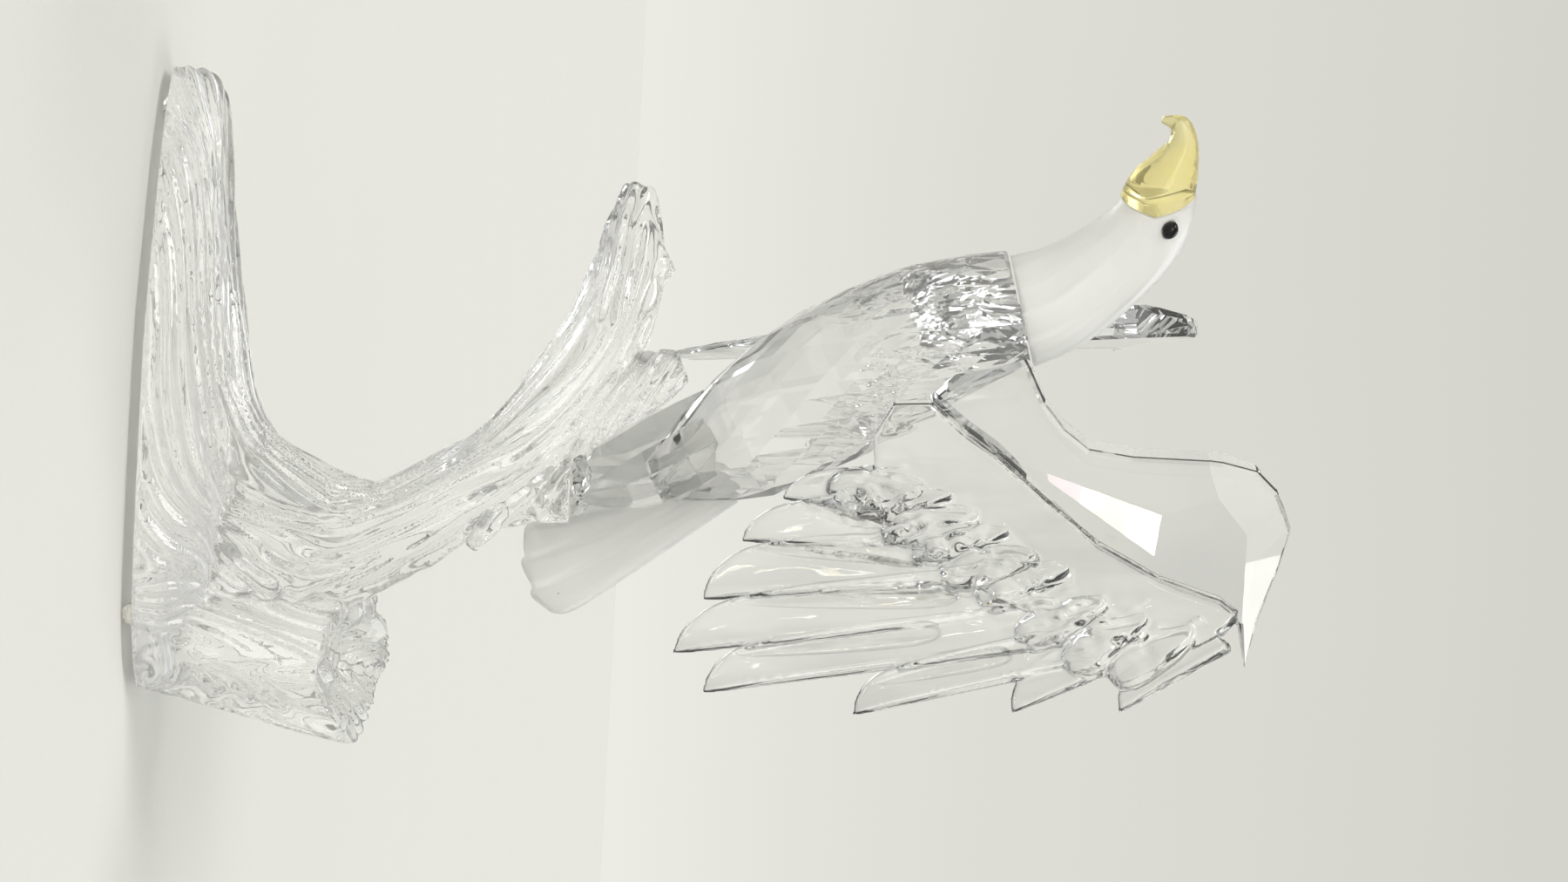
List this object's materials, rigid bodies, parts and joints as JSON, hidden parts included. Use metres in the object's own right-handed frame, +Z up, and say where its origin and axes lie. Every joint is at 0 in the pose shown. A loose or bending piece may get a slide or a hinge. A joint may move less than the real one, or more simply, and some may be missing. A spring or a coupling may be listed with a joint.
{
  "type": "crystal eagle figurine",
  "caption": "Clear cut crystal eagle with raised wings, satin head and tail and a yellow hooked beak, landing on a curved driftwood stump.",
  "frame": {"origin": "under the middle of the whole figure, on the level that its foot pads stand on", "axes": "+Z up from the foot pads to the wing tops; the stump runs along Y with its low tip towards -Y, and the eagle looks towards -Y and +X"},
  "size_m": [0.1142, 0.0958, 0.1567],
  "materials": {
    "clear_crystal": "polished, see-through",
    "satin_crystal": "frosted, translucent",
    "yellow_crystal": "polished, see-through golden yellow",
    "black_crystal": "polished, opaque black",
    "foot_pad": "clear, soft"
  },
  "bodies": {
    "root": {"stump": "clear_crystal", "foot_pad_1": "foot_pad", "foot_pad_2": "foot_pad", "foot_pad_3": "foot_pad", "body": "clear_crystal", "head_and_neck": "satin_crystal", "beak": "yellow_crystal", "eye_left": "black_crystal", "eye_right": "black_crystal", "tail": "satin_crystal", "leg_left": "clear_crystal", "leg_right": "clear_crystal", "wing_plate_left": "clear_crystal", "wing_plate_right": "clear_crystal", "wing_feathers_left": "clear_crystal", "wing_feathers_right": "clear_crystal"}
  },
  "joints": []
}
